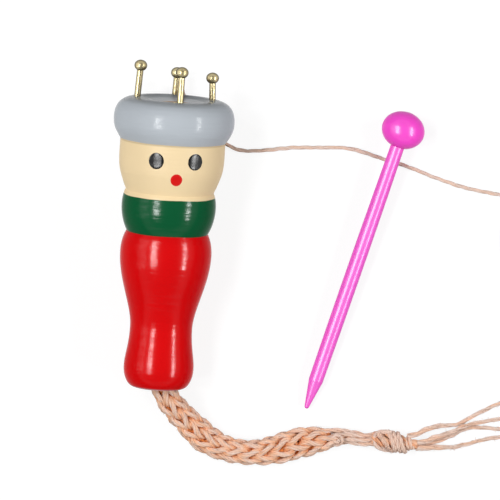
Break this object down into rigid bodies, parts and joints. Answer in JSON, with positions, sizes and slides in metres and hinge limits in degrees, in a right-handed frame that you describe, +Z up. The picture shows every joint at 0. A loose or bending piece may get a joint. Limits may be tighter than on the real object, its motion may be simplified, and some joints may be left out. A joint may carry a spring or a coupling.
{
  "type": "knitting nancy",
  "caption": "Turned and painted wooden doll spool with nails round its bore for knitting a tubular cord, with the cord being made on it and its pick.",
  "frame": {"origin": "on the table, under the middle of the doll, its nails and its pick together", "axes": "+Z up from the table; +Y from the doll's base to its head, and the doll's face is up; +X to the right of the doll, where the cord and the pick lie"},
  "size_m": [0.1688, 0.1369, 0.0411],
  "materials": {
    "painted_wood": "gloss painted in red, green, cream and grey",
    "brass": "polished",
    "pick_plastic": "gloss",
    "yarn": "matt cotton yarn"
  },
  "bodies": {
    "doll": {"spool_body": "painted_wood", "peg_front": "brass", "peg_right": "brass", "peg_back": "brass", "peg_left": "brass", "cord_in_bore": "yarn", "knitted_cord": "yarn", "cord_neck": "yarn", "cord_knot": "yarn", "tail_1": "yarn", "tail_2": "yarn", "tail_3": "yarn", "tail_4": "yarn", "supply_yarn": "yarn", "yarn_coil": "yarn"},
    "pick": {"pick_shaft": "pick_plastic", "pick_knob": "pick_plastic"}
  },
  "joints": [
    {"name": "pick_lift", "type": "slide", "parent": "doll", "child": "pick", "axis": [0, 0, 1], "range_m": [0, 0.06]}
  ]
}
